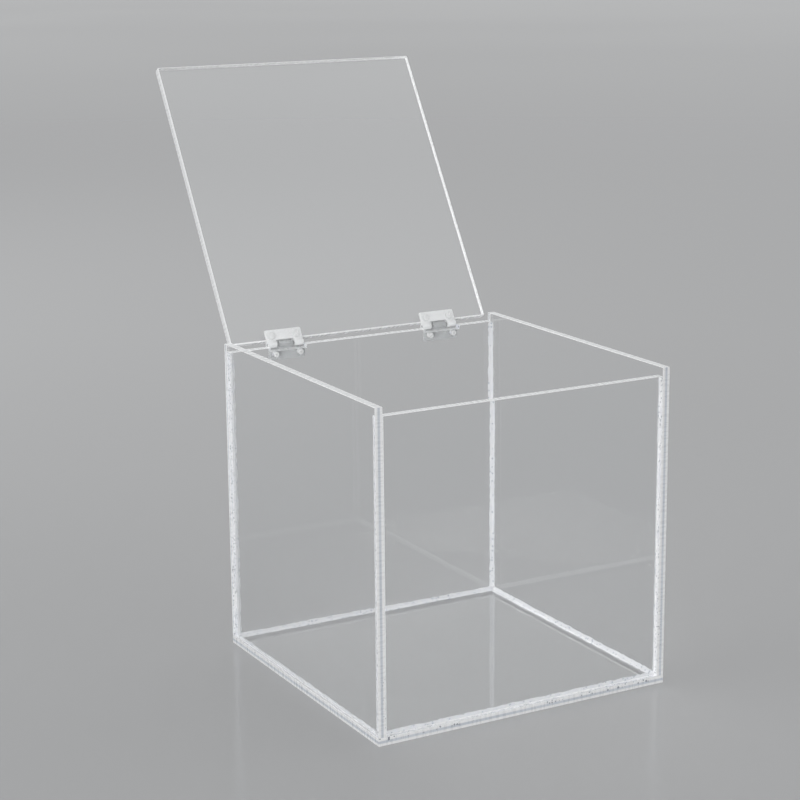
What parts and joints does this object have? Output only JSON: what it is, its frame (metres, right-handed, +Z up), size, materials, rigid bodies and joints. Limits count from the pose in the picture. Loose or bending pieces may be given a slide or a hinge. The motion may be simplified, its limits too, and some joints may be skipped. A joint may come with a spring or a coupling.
{
  "type": "acrylic storage box with hinged lid",
  "caption": "Clear acrylic cube box of cemented flat panels, with a flush lid on riveted clear hinges at the back; the lid stands open past upright.",
  "frame": {"origin": "centre of the base's underside", "axes": "+X to the box's right, -Y to the front, away from the hinges, +Z up"},
  "size_m": [0.2, 0.3115, 0.3658],
  "materials": {
    "clear_acrylic": "clear, polished faces and edges",
    "hinge_plastic": "clear moulded plastic, glossy",
    "rivet_plastic": "clear moulded plastic, slightly milky"
  },
  "bodies": {
    "box": {"base_panel": "clear_acrylic", "left_side_panel": "clear_acrylic", "right_side_panel": "clear_acrylic", "front_panel": "clear_acrylic", "back_panel": "clear_acrylic", "left_hinge_box_leaf": "hinge_plastic", "left_hinge_pin": "hinge_plastic", "right_hinge_box_leaf": "hinge_plastic", "right_hinge_pin": "hinge_plastic", "left_hinge_box_rivet_1": "rivet_plastic", "left_hinge_box_rivet_2": "rivet_plastic", "right_hinge_box_rivet_1": "rivet_plastic", "right_hinge_box_rivet_2": "rivet_plastic"},
    "lid": {"lid_panel": "clear_acrylic", "left_hinge_lid_leaf": "hinge_plastic", "right_hinge_lid_leaf": "hinge_plastic", "left_hinge_lid_rivet_1": "rivet_plastic", "left_hinge_lid_rivet_2": "rivet_plastic", "right_hinge_lid_rivet_1": "rivet_plastic", "right_hinge_lid_rivet_2": "rivet_plastic"}
  },
  "joints": [
    {"name": "lid_hinge", "type": "hinge", "parent": "box", "child": "lid", "pos_m": [0, 0.101, 0.19525], "axis": [1, 0, 0], "range_deg": [0, 122]}
  ]
}
